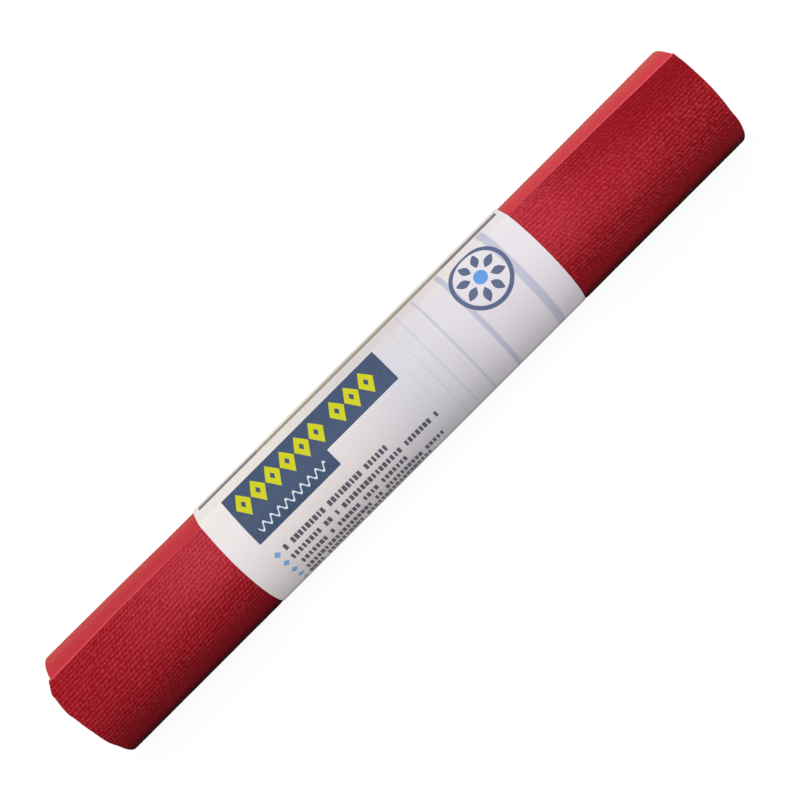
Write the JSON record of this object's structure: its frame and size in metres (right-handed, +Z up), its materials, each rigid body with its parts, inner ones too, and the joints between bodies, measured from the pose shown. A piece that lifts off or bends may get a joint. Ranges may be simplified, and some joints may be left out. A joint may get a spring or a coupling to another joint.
{
  "type": "rolled yoga mat",
  "caption": "Thin foam exercise mat wound into a tight roll and held by a printed paper sleeve that slides off either end.",
  "frame": {"origin": "on the floor under the middle of the roll, at the bottom centre of its box", "axes": "+X along the roll, +Z up, -Y towards the side where the label is read and the mat's free edge lies on top"},
  "size_m": [0.61, 0.0916, 0.0917],
  "materials": {
    "outer_foam": "matte",
    "woven_net": "matte",
    "inner_foam": "matte",
    "printed_paper": "satin",
    "glue": "satin"
  },
  "bodies": {
    "mat_roll": {"outer_foam_layer": "outer_foam", "reinforcing_scrim": "woven_net", "inner_foam_layer": "inner_foam"},
    "sleeve": {"paper_sleeve": "printed_paper", "sleeve_glue_strip": "glue"}
  },
  "joints": [
    {"name": "sleeve_slide", "type": "slide", "parent": "mat_roll", "child": "sleeve", "axis": [1, 0, 0], "range_m": [-0.457, 0.466]}
  ]
}
